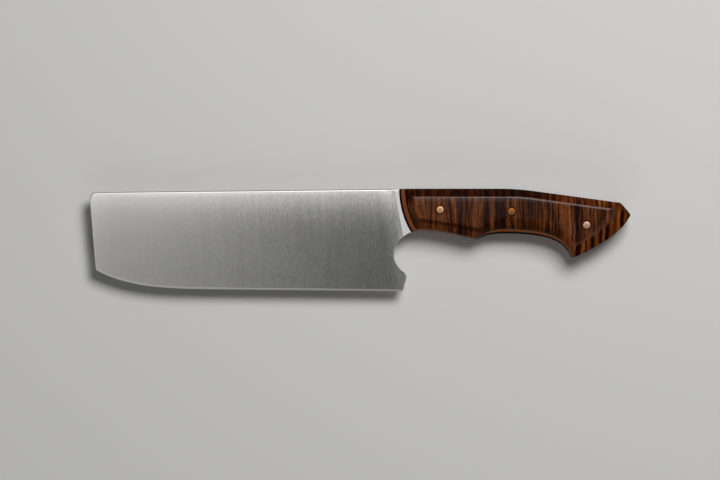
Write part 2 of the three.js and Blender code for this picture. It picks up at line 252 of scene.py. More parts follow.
def arc(centre, radius, start, end):
    """A circle's arc between two angles in degrees."""
    def at(share):
        angle = math.radians(start + (end - start) * share)
        return Vector(centre) + radius * Vector((math.cos(angle), math.sin(angle)))
    return at


def tangent(curve, share):
    """The direction of travel along a curve."""
    step = 1e-4
    return (curve(min(share + step, 1)) - curve(max(share - step, 0))).normalized()


def square_to(along):
    """The direction on the left of a direction of travel, which is the inside of an outline."""
    return Vector((-along.y, along.x))


def mix(a, b, share):
    return a + (b - a) * share


def clamp(value):
    return min(max(value, 0), 1)


def crossing(first, first_reach, second, second_reach):
    """The vector whose reach along each of two unit directions is given."""
    area = first.x * second.y - first.y * second.x
    x = (first_reach * second.y - second_reach * first.y) / area
    y = (second_reach * first.x - first_reach * second.x) / area
    return Vector((x, y))


def stretch_between(curve, start, end):
    """A stretch of the handle's outline with evenly spaced points."""
    samples = [curve(i / LENGTH_SAMPLES) for i in range(LENGTH_SAMPLES + 1)]
    length = sum((b - a).length for a, b in zip(samples, samples[1:]))
    return Stretch(curve, max(round(length / OUTLINE_STEP), LEAST_STEPS), start, end)


def soften(points, passes=2):
    """A closed line with its corners eased."""
    for _ in range(passes):
        before = points[-1:] + points[:-1]
        after = points[1:] + points[:1]
        points = [(a + 2 * b + c) / 4 for a, b, c in zip(before, points, after)]
    return points


foot_turn = math.degrees(math.asin(FRONT_HEIGHT / FRONT_RADIUS))
front_curve = arc((FRONT_RADIUS, 0), FRONT_RADIUS, 180, 180 + foot_turn)
foot = front_curve(1)
guard = Vector((GUARD[0], -GUARD[1]))
grip = Vector((GRIP[0], -GRIP[1]))
beak = Vector((HANDLE_LENGTH - BEAK[0], -BEAK[1]))
butt_bulge = Vector((HANDLE_LENGTH - BUTT_BULGE[0], -BUTT_BULGE[1]))
butt = Vector((HANDLE_LENGTH, -BUTT_DROP))
back_slope = math.tan(math.radians(BACK_ANGLE))
back_bend = Vector((BACK_FLAT, 0))
back_fall = Vector((1, -back_slope))
shoulder = back_bend + back_fall * (HANDLE_LENGTH - SHOULDER_FROM_BUTT - BACK_FLAT)
bend_start = back_bend + back_fall * BACK_BEND
bend_end = back_bend - Vector((BACK_BEND, 0))
datum_corner = Vector((0, 0))

before_guard = guard + Vector((-FINGER_SLOPE[0], FINGER_SLOPE[1]))
after_guard = guard + Vector((GUARD_SLOPE, GUARD_SLOPE))
finger_curve = bezier(foot, foot + Vector(FINGER_HOLLOW), before_guard, guard)
scoop_curve = bezier(guard, after_guard, grip - Vector((SCOOP_EASE, 0)), grip)
grip_curve = bezier(grip, grip + Vector((GRIP_EASE, 0)), beak + Vector((-HOOK[0], HOOK[1])), beak)
butt_curve = bezier(beak, butt_bulge, butt)
end_curve = bezier(butt, shoulder)
end_inward = square_to(tangent(end_curve, 0))


def end_setback(butt_reach, back_reach):
    """How far from the handle's end the butt's facet and the back's facet meet."""
    butt_inward = square_to(tangent(butt_curve, 1))
    back_inward = square_to(-back_fall.normalized())
    to_butt = (shoulder - butt).dot(butt_inward)
    return crossing(butt_inward, butt_reach - to_butt, back_inward, back_reach).dot(end_inward)


AT_END = Section(0, 0, end_setback(AT_BUTT.wood, AT_REAR_BACK.wood) + END_LAND, END_EASE)
handle_stretches = [
    stretch_between(front_curve, AT_FRONT, AT_FRONT),
    stretch_between(finger_curve, AT_FOOT, AT_FINGER),
    stretch_between(scoop_curve, AT_GUARD, AT_GRIP),
    stretch_between(grip_curve, AT_GRIP, AT_BEAK),
    stretch_between(butt_curve, BEHIND_BEAK, AT_BUTT),
    stretch_between(end_curve, AT_END, AT_END),
    stretch_between(bezier(shoulder, bend_start), AT_REAR_BACK, AT_REAR_BACK),
    stretch_between(bezier(bend_start, back_bend, bend_end), AT_REAR_BACK, AT_BACK),
    stretch_between(bezier(bend_end, datum_corner), AT_BACK, AT_BACK),
]

tip_top = Vector((-BLADE_LENGTH, -SPINE_FALL))
tip_foot = -BLADE_LENGTH + TIP_LEAN


def spine_at(x):
    return SPINE_FALL * min(x, 0) / BLADE_LENGTH


def edge_at(x):
    into_belly = clamp((tip_foot + BELLY_LENGTH - x) / BELLY_LENGTH)
    return -BLADE_HEIGHT - EDGE_RISE * x / BLADE_LENGTH + BELLY_RISE * into_belly ** 4


def on_edge(x):
    return Vector((x, edge_at(x)))


def belly_curve(share):
    return on_edge(tip_foot + BELLY_LENGTH * share ** 2)


def towards(corner, neighbour, distance):
    """The point a given way along the line from a corner to its neighbour."""
    return corner + (neighbour - corner).normalized() * distance


heel_top = Vector(HEEL_TOP)
heel_low = on_edge(HEEL_TOP[0] - HEEL_LEAN)
heel_flat = on_edge(heel_low.x - HEEL_RADIUS)
tip_low = on_edge(tip_foot)
belly_end = on_edge(tip_foot + BELLY_LENGTH)
spine_end = towards(tip_top, datum_corner, TIP_RADIUS)
tip_start = towards(tip_top, tip_low, TIP_RADIUS)
heel_start = towards(heel_low, heel_top, HEEL_RADIUS)
choil_curve = arc(CHOIL_CENTRE, CHOIL_RADIUS, *CHOIL_ANGLES)
choil_end = choil_curve(1)
leave = tangent(choil_curve, 1)
arrive = tangent(finger_curve, 0)
to_foot = foot - choil_end
choil_bend = choil_end + leave * (to_foot.cross(arrive) / leave.cross(arrive))

# The radius that each rim of the steel is eased to, its finish, and whether it is the bevelled edge
SATIN, POLISHED, BLASTED, GROUND = range(4)
Rim = namedtuple("Rim", "radius finish is_edge")
SPINE_RIM = Rim(0.9, POLISHED, False)
CORNER_RIM = Rim(0.9, GROUND, False)
TIP_RIM = Rim(0.4, GROUND, False)
EDGE_RIM = Rim(0, GROUND, True)
HEEL_RIM = Rim(0.2, GROUND, False)
CHOIL_RIM = Rim(0.25, GROUND, False)
TANG_RIM = Rim(0, GROUND, False)

# The steel's outline from the handle's front along the spine, round the edge and the choil to the tang:
# each stretch has its curve, its number of steps and its rim
steel_stretches = [
    (bezier(datum_corner, spine_end), 60, SPINE_RIM),
    (bezier(spine_end, tip_top, tip_start), 12, CORNER_RIM),
    (bezier(tip_start, tip_low), 40, TIP_RIM),
    (belly_curve, 50, EDGE_RIM),
    (bezier(belly_end, heel_flat), 60, EDGE_RIM),
    (bezier(heel_flat, heel_low, heel_start), 8, HEEL_RIM),
    (bezier(heel_start, heel_top), 36, HEEL_RIM),
    (choil_curve, 90, CHOIL_RIM),
    (bezier(choil_end, choil_bend, foot), 30, CHOIL_RIM),
]
steel_stretches += [(stretch.curve, stretch.steps, TANG_RIM) for stretch in handle_stretches[1:]]


def inset_line(points, distance):
    """The closed line that runs a given distance inside a closed line."""
    inner = []
    for before, here, after in zip(points[-1:] + points[:-1], points, points[1:] + points[:1]):
        arriving = (here - before).normalized()
        along = (arriving + (after - here).normalized()).normalized()
        inner.append(here + square_to(along) * distance / max(along.dot(arriving), MITRE_LIMIT))
    return inner


def on_ricasso(x, y):
    """0 on the ground face and 1 on the flat in front of the handle and on the tang."""
    plunge = -RICASSO_LENGTH - PLUNGE_LEAN * y
    share = clamp((x - plunge) / PLUNGE_RUN + 1)
    return share * share * (3 - 2 * share)


def crown_fall(depth):
    """How far the face falls away at a depth below the spine, before it is fitted to the edge."""
    start, end = CROWN_SLOPES
    rounded = min(depth, CROWN_DEPTH)
    return start * rounded + (end - start) * rounded ** 2 / (2 * CROWN_DEPTH) + end * (depth - rounded)


def half_thickness(x, y):
    """Half of the steel's thickness, apart from its rim and edge bevel."""
    height = spine_at(x) - edge_at(x) - EDGE_BEVEL
    depth = clamp((spine_at(x) - y) / height) * height
    spine = mix(SPINE_AT_HEEL, SPINE_AT_TIP, clamp(-x / BLADE_LENGTH))
    ground = mix(spine, SHOULDER_THICKNESS, crown_fall(depth) / crown_fall(height))
    ground -= SHOULDER_FALL * 2 * clamp(1 - depth / SHOULDER_EASE) ** 2
    return mix(ground, TANG_THICKNESS, on_ricasso(x, y)) / 2


def rim_height(point, distance, rim):
    """Height of the steel's face over its middle, at a distance from its outline."""
    height = half_thickness(point.x, point.y)
    if rim.is_edge:
        bevel = (SHOULDER_THICKNESS - EDGE_THICKNESS) / 2
        return height - bevel * (1 - clamp(distance / EDGE_BEVEL))
    radius = min(rim.radius, ROUND_LIMIT * height)
    left = max(radius - distance, 0)
    return height - radius + math.sqrt(radius ** 2 - left ** 2)


def rolled(name, rings):
    """A skin through closed lines with as many points each: a grid is rolled up and sewn along its seam."""
    count = len(rings[0])
    bpy.ops.object.select_all(action="DESELECT")
    bpy.ops.mesh.primitive_grid_add(x_subdivisions=count, y_subdivisions=len(rings) - 1)
    piece = bpy.context.object
    piece.name = name
    for vertex in piece.data.vertices:
        row, column = divmod(vertex.index, count + 1)
        vertex.co = rings[row][column % count] * MM
    bpy.ops.object.mode_set(mode="EDIT")
    bpy.ops.mesh.select_all(action="SELECT")
    bpy.ops.mesh.remove_doubles(threshold=SEAM_REACH)
    bpy.ops.object.mode_set(mode="OBJECT")
    return piece


def select_vertices(piece, wanted):
    """Selects the vertices that a test accepts, and leaves the piece in edit mode."""
    bpy.ops.object.mode_set(mode="EDIT")
    bpy.ops.mesh.select_mode(type="VERT")
    bpy.ops.mesh.select_all(action="DESELECT")
    bpy.ops.object.mode_set(mode="OBJECT")
    for vertex in piece.data.vertices:
        vertex.select = wanted(vertex)
    bpy.ops.object.mode_set(mode="EDIT")


blade_low, blade_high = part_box("blade")
datum = Vector((blade_high.x - HANDLE_LENGTH * MM, blade_high.y, (blade_low.z + blade_high.z) / 2))


def seat(piece):
    """Puts a piece that was modelled from the datum in its place, with its object at the origin."""
    piece.location = datum
    bpy.ops.object.select_all(action="DESELECT")
    piece.select_set(True)
    bpy.context.view_layer.objects.active = piece
    bpy.ops.object.transform_apply(location=True, rotation=True, scale=True)


def apply_modifier(piece, kind, **settings):
    """Adds a modifier with its settings and applies it."""
    bpy.context.view_layer.objects.active = piece
    bpy.ops.object.modifier_add(type=kind)
    modifier = piece.modifiers[-1]
    for name, value in settings.items():
        setattr(modifier, name, value)
    bpy.ops.object.modifier_apply(modifier=modifier.name)


outline = []
rims = []
for curve, steps, rim in steel_stretches:
    outline += [curve(step / steps) for step in range(steps)]
    rims += [rim] * steps
outline = soften(outline)
rim_turns = [math.pi / 2 * step / RIM_STEPS for step in range(RIM_STEPS + 1)]
rim_distances = [SPINE_RIM.radius * (1 - math.cos(turn)) for turn in rim_turns]
steel_rings = [[point.to_3d() for point in outline]]
for distance in rim_distances + [EDGE_BEVEL + FACE_SUPPORT]:
    line = inset_line(outline, distance)
    heights = [rim_height(point, distance, rim) for point, rim in zip(line, rims)]
    steel_rings.append([Vector((point.x, point.y, height)) for point, height in zip(line, heights)])
blade = rolled("satin_blade", steel_rings)
rim_count = len(blade.data.vertices)
rim_faces = len(blade.data.polygons)

select_vertices(blade, lambda vertex: vertex.index >= rim_count - len(outline))
bpy.ops.mesh.edge_face_add()
bpy.ops.mesh.hide(unselected=True)
face_cuts = [(Vector((x, 0, 0)), (1, 0, 0)) for x in (*BLADE_CUTS, *PLUNGE_CUTS, *TANG_CUTS)]
face_cuts += [(Vector((0, y, 0)), (0, 1, 0)) for y in (*DEPTH_CUTS, *SPINE_CUTS)]
face_cuts += [(Vector((-RICASSO_LENGTH, 0, 0)), (1, PLUNGE_LEAN, 0))]
for through, across in face_cuts:
    bpy.ops.mesh.select_all(action="SELECT")
    bpy.ops.mesh.bisect(plane_co=through * MM, plane_no=across)
bpy.ops.mesh.reveal(select=False)
bpy.ops.object.mode_set(mode="OBJECT")
for vertex in blade.data.vertices[rim_count:]:
    vertex.co.z = half_thickness(vertex.co.x / MM, vertex.co.y / MM) * MM
for polygon in blade.data.polygons:
    past_plunge = polygon.center.x + PLUNGE_LEAN * polygon.center.y + RICASSO_LENGTH * MM
    polygon.material_index = BLASTED if past_plunge > 0 else SATIN
    if polygon.index < rim_faces:
        row, column = divmod(polygon.index, len(outline))
        rim = rims[column]
        if row == 0 or rim.is_edge or rim_distances[row - 1] < rim.radius:
            polygon.material_index = rim.finish
apply_modifier(blade, "MIRROR", use_axis=(False, False, True), merge_threshold=MIRROR_REACH)
select_vertices(blade, lambda vertex: True)
bpy.ops.mesh.normals_make_consistent(inside=False)
bpy.ops.object.mode_set(mode="OBJECT")

PIN_PLACES = {"front": (22.5, -11.6), "middle": (61.6, -12.6), "rear": (102.8, -20)}
PIN_RADIUS = 2
PIN_CLEARANCE = 0.05
PIN_SIDES = 64
HOLE_RADIUS = PIN_RADIUS + PIN_CLEARANCE


def drill(piece, radius_low, radius_high, low, high):
    """Cuts the three pin holes, straight or tapered, between two heights over the blade's middle."""
    for place in PIN_PLACES.values():
        bpy.ops.mesh.primitive_cone_add(
            vertices=PIN_SIDES,
            radius1=radius_low * MM,
            radius2=radius_high * MM,
            depth=(high - low) * MM,
            location=Vector((*place, (low + high) / 2)) * MM,
        )
        cutter = bpy.context.object
        apply_modifier(piece, "BOOLEAN", operation="DIFFERENCE", solver="EXACT", object=cutter)
        bpy.data.objects.remove(cutter)


drill(blade, HOLE_RADIUS, HOLE_RADIUS, -TANG_THICKNESS, TANG_THICKNESS)
seat(blade)
bpy.ops.object.shade_smooth_by_angle(angle=math.radians(SMOOTH_ANGLE))

# Satin stainless: hand-brushed square to the edge, so it mirrors soft light in a broad smear along the
# blade. The real scratches are finer than a pixel and are drawn some 0.3 mm apart, so that they show. The
# steel is painted lighter close to the plunge, the heel and the tip, and darker in the belly: painted
# highlight and painted shade that stand in for the light the face mirrors there.
STEEL_DARK = "#bbbab8"
STEEL_LIGHT = "#d8d7d5"
SCRATCH_SIZE = (0.3, 2.5, 1)
SCRATCH_LEAN = 0.05
SCRATCH_DEPTH = 0.004
SCRATCH_BUMP = 0.06
SCRATCH_RANGE = (0.3, 0.7)
SATIN_ROUGHNESS = (0.285, 0.315)
ANISOTROPY = 0.75
SMEAR_SIZE = (2.5, 50, 1)
SMEAR_WEIGHT = 0.25
STREAK_SPREAD = 0.2
NOISE_MIDDLE = 0.5
BOLDNESS = (0.4, 1.6)  # of the brushing, towards the tip and towards the heel
BOLD_TURN = (-140, -20)  # turns are in mm from the handle's front
# Painted highlight near the plunge, the tip and the heel, and painted shade low in the belly
PLUNGE_TURN = (12, 3.5)  # this one ahead of the plunge line
PLUNGE_PAINTED_LIGHT = (1, 1.3)
TIP_TURN = (-158, -169)
TIP_PAINTED_LIGHT = (1, 1.12)
BELLY_SHADE_TURN = (-60, -120)
BELLY_SHADE_DEPTHS = (-22, -46)  # depths are in mm from the spine
BELLY_PAINTED_SHADE = (1, 0.87)
HEEL_TURN = (-9, 2)
HEEL_DEPTHS = (-10, -20)
HEEL_PAINTED_LIGHT = (1, 1.25)

satin_steel, place = new_material("satin_stainless")
from_datum = add_node(satin_steel, "VectorMath", [place, datum / MM], operation="SUBTRACT")
blade_x, blade_y, blade_z = add_node(satin_steel, "SeparateXYZ", [from_datum]).outputs
leaning = add_node(satin_steel, "Math", [blade_y, SCRATCH_LEAN, blade_x], operation="MULTIPLY_ADD")
along_scratch = add_node(satin_steel, "CombineXYZ", [leaning, blade_y, blade_z])
scratch_place = add_node(satin_steel, "VectorMath", [along_scratch, SCRATCH_SIZE], operation="DIVIDE")
scratches = add_node(
    satin_steel,
    "TexNoise",
    {"Vector": scratch_place, "Scale": 1, "Detail": 2, "Roughness": 0.6},
)
smear_place = add_node(satin_steel, "VectorMath", [along_scratch, SMEAR_SIZE], operation="DIVIDE")
smears = add_node(satin_steel, "TexNoise", {"Vector": smear_place, "Scale": 1, "Detail": 2})
streaks = add_node(satin_steel, "Math", [smears, SMEAR_WEIGHT, scratches], operation="MULTIPLY_ADD")
streak_middle = (1 + SMEAR_WEIGHT) * NOISE_MIDDLE
streak_ends = (streak_middle - STREAK_SPREAD, streak_middle + STREAK_SPREAD)
streak_share = add_node(satin_steel, "MapRange", [streaks, *streak_ends])
boldness = add_node(satin_steel, "MapRange", [blade_x, *BOLD_TURN, *BOLDNESS])
off_middle = add_node(satin_steel, "Math", [streak_share, NOISE_MIDDLE], operation="SUBTRACT")
bold_share = add_node(satin_steel, "Math", [off_middle, boldness, NOISE_MIDDLE], operation="MULTIPLY_ADD")
brushed_tone = add_node(
    satin_steel,
    "Mix",
    {"Factor": bold_share, "A": linear(STEEL_DARK), "B": linear(STEEL_LIGHT)},
    data_type="RGBA",
)
past_plunge = add_node(satin_steel, "Math", [blade_y, PLUNGE_LEAN, blade_x], operation="MULTIPLY_ADD")
plunge_painted_light = add_node(
    satin_steel,
    "MapRange",
    [past_plunge, *(-RICASSO_LENGTH - ahead for ahead in PLUNGE_TURN), *PLUNGE_PAINTED_LIGHT],
    interpolation_type="SMOOTHSTEP",
)
tip_painted_light = add_node(satin_steel, "MapRange", [blade_x, *TIP_TURN, *TIP_PAINTED_LIGHT])
belly_shade_along = add_node(satin_steel, "MapRange", [blade_x, *BELLY_SHADE_TURN, *BELLY_PAINTED_SHADE])
belly_painted_shade = add_node(satin_steel, "MapRange", [blade_y, *BELLY_SHADE_DEPTHS, 1, belly_shade_along])
heel_light_along = add_node(satin_steel, "MapRange", [blade_x, *HEEL_TURN, *HEEL_PAINTED_LIGHT])
heel_painted_light = add_node(satin_steel, "MapRange", [blade_y, *HEEL_DEPTHS, 1, heel_light_along])
# The painted highlights and the painted shade, multiplied together
painted_light = plunge_painted_light
for change in (tip_painted_light, belly_painted_shade, heel_painted_light):
    painted_light = add_node(satin_steel, "Math", [painted_light, change], operation="MULTIPLY")
painted_light_tone = add_node(satin_steel, "VectorMath", {0: brushed_tone, "Scale": painted_light}, operation="SCALE")
brushed_gloss = add_node(satin_steel, "MapRange", [scratches, *SCRATCH_RANGE, *SATIN_ROUGHNESS])
scratch_bump = add_node(
    satin_steel,
    "Bump",
    {"Strength": SCRATCH_BUMP, "Distance": SCRATCH_DEPTH * MM, "Height": scratches},
)
lengthwise = add_node(satin_steel, "CombineXYZ", {"X": 1})
shader = add_node(
    satin_steel,
    "BsdfPrincipled",
    {
        "Base Color": painted_light_tone,
        "Metallic": 1,
        "Roughness": brushed_gloss,
        "Anisotropic": ANISOTROPY,
        "Tangent": lengthwise,
        "Normal": scratch_bump,
    },
)
add_node(satin_steel, "OutputMaterial", [shader])

# Polished stainless: the rounded spine, rubbed smooth, shows as a bright line. Ground stainless: the tip,
# edge bevel, heel and choil are dressed on a fine stone and outline the blade with a thin pale line.
POLISHED_TONE = "#c0bfbd"
POLISHED_ROUGHNESS = (0.34, 0.42)
RUB_SIZE = 1.5
GROUND_TONE = "#bfbebc"
GROUND_ROUGHNESS = (0.46, 0.56)
GRIT_SIZE = 0.3


def worked_steel(name, tone, roughness, mark_size):
    """Stainless steel of one tone, with small duller and brighter marks."""
    material, place = new_material(name)
    marks = add_node(material, "TexNoise", {"Vector": place, "Scale": 1 / mark_size, "Detail": 3})
    gloss = add_node(material, "MapRange", [marks, 0, 1, *roughness])
    shader = add_node(
        material,
        "BsdfPrincipled",
        {"Base Color": linear(tone), "Metallic": 1, "Roughness": gloss},
    )
    add_node(material, "OutputMaterial", [shader])
    return material


polished_steel = worked_steel("polished_stainless", POLISHED_TONE, POLISHED_ROUGHNESS, RUB_SIZE)
ground_steel = worked_steel("ground_stainless", GROUND_TONE, GROUND_ROUGHNESS, GRIT_SIZE)

# Bead-blasted stainless: the ricasso and the tang are left dull, so they spread light and look pale.
BLASTED_TONES = ("#b8b7b5", "#cac9c7")
BLASTED_ROUGHNESS = 0.58
BLAST_SIZE = 0.5
blasted_steel, place = new_material("blasted_stainless")
blast_marks = add_node(blasted_steel, "TexNoise", {"Vector": place, "Scale": 1 / BLAST_SIZE, "Detail": 3})
blast_tone = add_node(
    blasted_steel,
    "Mix",
    {"Factor": blast_marks, "A": linear(BLASTED_TONES[0]), "B": linear(BLASTED_TONES[1])},
    data_type="RGBA",
)
shader = add_node(
    blasted_steel,
    "BsdfPrincipled",
    {"Base Color": blast_tone, "Metallic": 1, "Roughness": BLASTED_ROUGHNESS},
)
add_node(blasted_steel, "OutputMaterial", [shader])

for steel in (satin_steel, polished_steel, blasted_steel, ground_steel):
    blade.data.materials.append(steel)
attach(blade, "root")
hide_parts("blade")

# Black liners: thin sheets of vulcanised fibre, one glued to each side of the tang. They are sanded with
# the handle, and their edges show as a dark line round the steel.
BLACK_THICKNESS = 1
BROWN_THICKNESS = 2.4
WOOD_THICKNESS = 4.8
BLACK_FACE = TANG_THICKNESS / 2 + BLACK_THICKNESS  # height over the blade's middle
BROWN_FACE = BLACK_FACE + BROWN_THICKNESS
WOOD_FACE = BROWN_FACE + WOOD_THICKNESS
DRILL_PAST = 1


def handle_ring(reach):
    """A closed line round the handle, at the setback and height that reach gives for each section."""
    points = []
    before_all = handle_stretches[-1:] + handle_stretches[:-1]
    after_all = handle_stretches[1:] + handle_stretches[:1]
    for before, stretch, after in zip(before_all, handle_stretches, after_all):
        curve = stretch.curve
        start, end = reach(stretch.start), reach(stretch.end)
        into, out_of = reach(before.end), reach(after.start)
        if curve is end_curve:
            start.x = end.x = max(start.x, end_setback(into.x, out_of.x))
        if before.curve is end_curve:
            into.x = max(into.x, end_setback(reach(AT_BUTT).x, start.x))
        if after.curve is end_curve:
            out_of.x = max(out_of.x, end_setback(end.x, reach(AT_REAR_BACK).x))
        slides = []
        for turn_in, reach_in, turn_out, reach_out, at in (
            (before.curve, into.x, curve, start.x, 0),
            (curve, end.x, after.curve, out_of.x, 1),
        ):
            arriving, leaving = tangent(turn_in, 1), tangent(turn_out, 0)
            if abs(arriving.cross(leaving)) < SMOOTH_TURN:
                slides.append(0)
                continue
            corner = crossing(square_to(arriving), reach_in, square_to(leaving), reach_out)
            slides.append(corner.dot(tangent(curve, at)))
        for step in range(stretch.steps):
            share = step / stretch.steps
            along = tangent(curve, share)
            inset, height = mix(start, end, share)
            spot = curve(share) + square_to(along) * inset + along * mix(*slides, share)
            points.append(Vector((spot.x, spot.y, height)))
    return soften(points)


def close_ends(piece, count):
    """Closes both ends of a rolled skin and turns its faces outwards."""
    last = len(piece.data.vertices) - count
    select_vertices(piece, lambda vertex: vertex.index < count)
    bpy.ops.mesh.edge_face_add()
    bpy.ops.object.mode_set(mode="OBJECT")
    select_vertices(piece, lambda vertex: vertex.index >= last)
    bpy.ops.mesh.edge_face_add()
    bpy.ops.mesh.select_all(action="SELECT")
    bpy.ops.mesh.normals_make_consistent(inside=False)
    bpy.ops.object.mode_set(mode="OBJECT")


def layer(name, rings):
    """A layer of the handle on its left side, with its pin holes."""
    piece = rolled(name + "_left", rings)
    close_ends(piece, len(rings[0]))
    drill(piece, HOLE_RADIUS, HOLE_RADIUS, 0, WOOD_FACE + DRILL_PAST)
    return piece


def pair(left, material, name):
    """Seats a layer on the left side of the tang and its mirror image on the right."""
    seat(left)
    left.data.materials.append(material)
    bpy.ops.object.shade_smooth_by_angle(angle=math.radians(SMOOTH_ANGLE))
    bpy.ops.object.duplicate()
    right = bpy.context.object
    right.name = left.name.replace("left", "right")
    select_vertices(right, lambda vertex: True)
    bpy.ops.transform.mirror(constraint_axis=(False, False, True), center_override=datum)
    bpy.ops.mesh.normals_make_consistent(inside=False)
    bpy.ops.object.mode_set(mode="OBJECT")
    for piece, side in ((left, "left"), (right, "right")):
        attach(piece, "root")
        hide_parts(f"{side}_{name}")


tang_ring = handle_ring(lambda section: Vector((0, TANG_THICKNESS / 2)))
black_ring = handle_ring(lambda section: Vector((section.black, BLACK_FACE)))
black_liner = layer("black_liner", [tang_ring, black_ring])

# Vulcanised fibre, dyed black and sanded: nearly no colour, with a dull gloss.
BLACK_TONES = ("#030303", "#0a0909")
BLACK_ROUGHNESS = 0.6
BLACK_SPECULAR = 0.05
FUZZ_SIZE = 0.5
black_fibre, place = new_material("black_vulcanised_fibre")
fuzz = add_node(black_fibre, "TexNoise", {"Vector": place, "Scale": 1 / FUZZ_SIZE, "Detail": 3})
fuzz_tone = add_node(
    black_fibre,
    "Mix",
    {"Factor": fuzz, "A": linear(BLACK_TONES[0]), "B": linear(BLACK_TONES[1])},
    data_type="RGBA",
)
shader = add_node(
    black_fibre,
    "BsdfPrincipled",
    {"Base Color": fuzz_tone, "Roughness": BLACK_ROUGHNESS, "Specular IOR Level": BLACK_SPECULAR},
)
add_node(black_fibre, "OutputMaterial", [shader])
pair(black_liner, black_fibre, "black_liner")

# Brown liners: thicker sheets of vulcanised fibre, glued outside the black ones. They are sanded with the
# handle too, slope in with its facets, and are oiled with the wood.
brown_ring = handle_ring(lambda section: Vector((section.brown, BROWN_FACE)))
brown_liner = layer("brown_liner", [black_ring, brown_ring])

# Vulcanised fibre, brown and sanded lengthwise: an even warm colour with faint streaks along the handle.
# It is darker towards the guard, and has painted shade in the grip, on the steep scoop behind the guard and
# on the faces turned towards the spine.
FIBRE_TONES = ("#904c1e", "#bc6a30")
FIBRE_STREAK = (6, 0.8, 0.4)
FIBRE_ROUGHNESS = 0.45
FIBRE_SPECULAR = 0.06
GUARD_TURN = (18, 36)  # mm from the handle's front
GUARD_DARKNESS = 0.4
GRIP_SHADE_TURN = (43, 50)
GRIP_PAINTED_SHADE = 0.75
SCOOP_TILT = (0.1, 0.45)  # of the surface, towards the butt
SCOOP_PAINTED_SHADE = 0.2
BACK_TILT = (0.2, 0.7)  # towards the spine
BACK_PAINTED_SHADE = 0.55
brown_fibre, place = new_material("brown_vulcanised_fibre")
streak_place = add_node(brown_fibre, "VectorMath", [place, FIBRE_STREAK], operation="DIVIDE")
fibre_streaks = add_node(brown_fibre, "TexNoise", {"Vector": streak_place, "Scale": 1, "Detail": 3})
fibre_tone = add_node(
    brown_fibre,
    "Mix",
    {"Factor": fibre_streaks, "A": linear(FIBRE_TONES[0]), "B": linear(FIBRE_TONES[1])},
    data_type="RGBA",
)
from_datum = add_node(brown_fibre, "VectorMath", [place, datum / MM], operation="SUBTRACT")
fibre_x = add_node(brown_fibre, "SeparateXYZ", [from_datum]).outputs["X"]
facing = add_node(brown_fibre, "TexCoord").outputs["Normal"]
facing_x, facing_y, _ = add_node(brown_fibre, "SeparateXYZ", [facing]).outputs
# Darker towards the guard; painted shade in the grip, on the scoop behind the guard and on faces turned to
# the spine
guard_darkening = add_node(brown_fibre, "MapRange", [fibre_x, *GUARD_TURN, 1, GUARD_DARKNESS])
guard_dark_and_grip_painted_shade = add_node(brown_fibre, "MapRange", [fibre_x, *GRIP_SHADE_TURN, guard_darkening, GRIP_PAINTED_SHADE])
scoop_painted_shade = add_node(brown_fibre, "MapRange", [facing_x, *SCOOP_TILT, guard_dark_and_grip_painted_shade, SCOOP_PAINTED_SHADE])
back_painted_shade = add_node(brown_fibre, "MapRange", [facing_y, *BACK_TILT, scoop_painted_shade, BACK_PAINTED_SHADE])
painted_shade_tone = add_node(brown_fibre, "VectorMath", {0: fibre_tone, "Scale": back_painted_shade}, operation="SCALE")
shader = add_node(
    brown_fibre,
    "BsdfPrincipled",
    {"Base Color": painted_shade_tone, "Roughness": FIBRE_ROUGHNESS, "Specular IOR Level": FIBRE_SPECULAR},
)
add_node(brown_fibre, "OutputMaterial", [shader])
pair(brown_liner, brown_fibre, "brown_liner")

# Scales: figured wood, glued outside the liners and pinned through. Flat on the side and cut to broad
# facets along the back, the front, the underside and the butt, with a rounded hollow in the grip. Oiled and
# polished after the pins are in.
ARRIS_STEPS = 6
EASE_LIMIT = 0.8  # the largest share of a facet that its eased arris takes
FLAT_SUPPORT = 0.3
CROWN_WIDTH = 3.2
CROWN_DROP = 0.14
CROWN_SHARES = (0.4, 0.75, 1, 1.1)
SEAT_WIDTH = 0.4  # of the countersunk seats round the pins
SEAT_DEPTH = 0.3
SEAT_PAST = 0.1


def wood_profile(section):
    """The line across the wood's edge, as setbacks and heights, from the brown liner to the flat side."""
    def crowned(distance):
        drop = CROWN_DROP * clamp(1 - distance / CROWN_WIDTH) ** 2
        return Vector((section.wood + distance, WOOD_FACE - drop))
    low = Vector((section.brown, BROWN_FACE))
    arris = crowned(0)
    down = (low - arris).normalized()
    ease = min(section.ease, EASE_LIMIT * (low - arris).length)
    turn = bezier(arris + down * ease, arris, crowned(ease))
    eased = [turn(step / ARRIS_STEPS) for step in range(ARRIS_STEPS + 1)]
    below = arris + down * (ease + FLAT_SUPPORT)
    start = ease + FLAT_SUPPORT
    rest = max(CROWN_WIDTH - start, FLAT_SUPPORT)
    above = [crowned(start + rest * share) for share in CROWN_SHARES]
    return [low, below, *eased, crowned(start), *above]


def wood_ring(number):
    return handle_ring(lambda section: wood_profile(section)[number])


wood_rings = [wood_ring(number) for number in range(len(wood_profile(AT_FRONT)))]
scale = layer("wood_scale", wood_rings)
drill(scale, HOLE_RADIUS, HOLE_RADIUS + SEAT_WIDTH, WOOD_FACE - SEAT_DEPTH, WOOD_FACE + SEAT_PAST)

